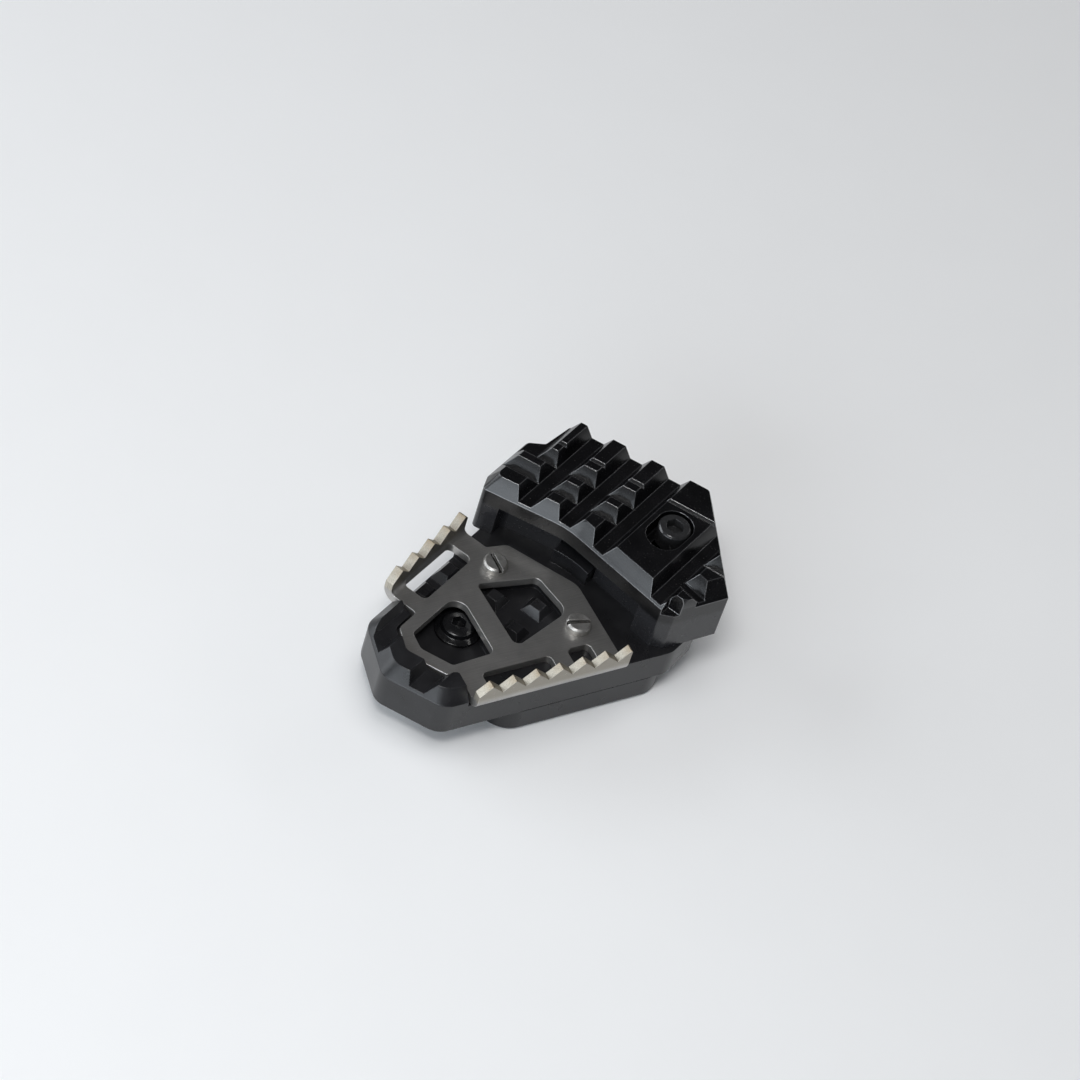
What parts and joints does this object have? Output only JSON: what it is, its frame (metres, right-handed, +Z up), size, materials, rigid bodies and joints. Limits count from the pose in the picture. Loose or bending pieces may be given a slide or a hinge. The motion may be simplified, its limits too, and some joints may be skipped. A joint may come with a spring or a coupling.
{
  "type": "brake pedal extension",
  "caption": "Wide toothed foot pad and bent serrated tread plate bolted to a milled carrier that clamps onto a motorbike brake pedal.",
  "frame": {"origin": "on the underside of the clamp plate, midway between the two tread plate screws", "axes": "+Z up out of the tread, +Y from the outer nose to the inner end along the pad's slide, +X to the slanted right side"},
  "size_m": [0.0777, 0.1131, 0.0398],
  "materials": {
    "carrier": "black anodised, satin",
    "clamp": "black anodised, satin",
    "tread": "brushed stainless sheet, worn",
    "pad": "black anodised, satin",
    "black_screw": "black oxide",
    "bright_screw": "bright turned steel"
  },
  "bodies": {
    "carrier": {"base_carrier": "carrier", "clamp_plate": "clamp", "tread_plate": "tread", "nose_bolt": "black_screw", "plate_screw_left": "bright_screw", "plate_screw_right": "bright_screw", "pad_screw": "black_screw", "clamp_screw_back": "black_screw", "clamp_screw_right": "black_screw"},
    "pad": {"raised_pad": "pad"}
  },
  "joints": [
    {"name": "pad_slide", "type": "slide", "parent": "carrier", "child": "pad", "axis": [0, 1, 0], "range_m": [0, 0.0057]}
  ]
}
